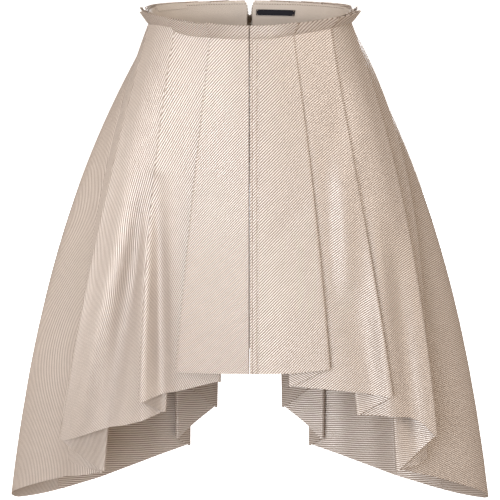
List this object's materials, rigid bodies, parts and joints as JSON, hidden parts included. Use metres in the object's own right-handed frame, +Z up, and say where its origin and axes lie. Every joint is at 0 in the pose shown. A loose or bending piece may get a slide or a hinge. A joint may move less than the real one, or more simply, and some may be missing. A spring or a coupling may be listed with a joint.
{
  "type": "pleated skirt",
  "caption": "Short pleated skirt with a frilled waist, a lapped centre front seam, a centre back zip and a hem that drops to long points at the sides, filled out with no wearer.",
  "frame": {"origin": "middle of the waist, level with the waist seam at the sides, where the wearer holds the skirt up", "axes": "+Z up along the wearer's height, -Y out of the centre front, +X to the wearer's left"},
  "size_m": [0.5952, 0.3117, 0.6213],
  "materials": {
    "champagne_rib": "satin diagonal rib",
    "champagne_facing": "satin rib, wrong side",
    "navy_label": "woven satin label, bare",
    "zip_tape": "woven tape",
    "zip_metal": "antique satin"
  },
  "bodies": {
    "root": {"front_right": "champagne_rib", "front_left": "champagne_rib", "back_right": "champagne_rib", "back_left": "champagne_rib", "front_lap": "champagne_rib", "facing_front": "champagne_facing", "facing_back_right": "champagne_facing", "facing_back_left": "champagne_facing", "hanger_loop": "champagne_facing", "label": "navy_label", "zip_tape_right": "zip_tape", "zip_tape_left": "zip_tape", "zip_chain": "zip_metal", "zip_slider": "zip_metal"},
    "zip_pull": {"zip_pull": "zip_metal"}
  },
  "joints": [
    {"name": "zip_pull_hinge", "type": "hinge", "parent": "root", "child": "zip_pull", "pos_m": [0, 0.09323, -0.0046], "axis": [1, 0, 0], "range_deg": [0, 110]}
  ]
}
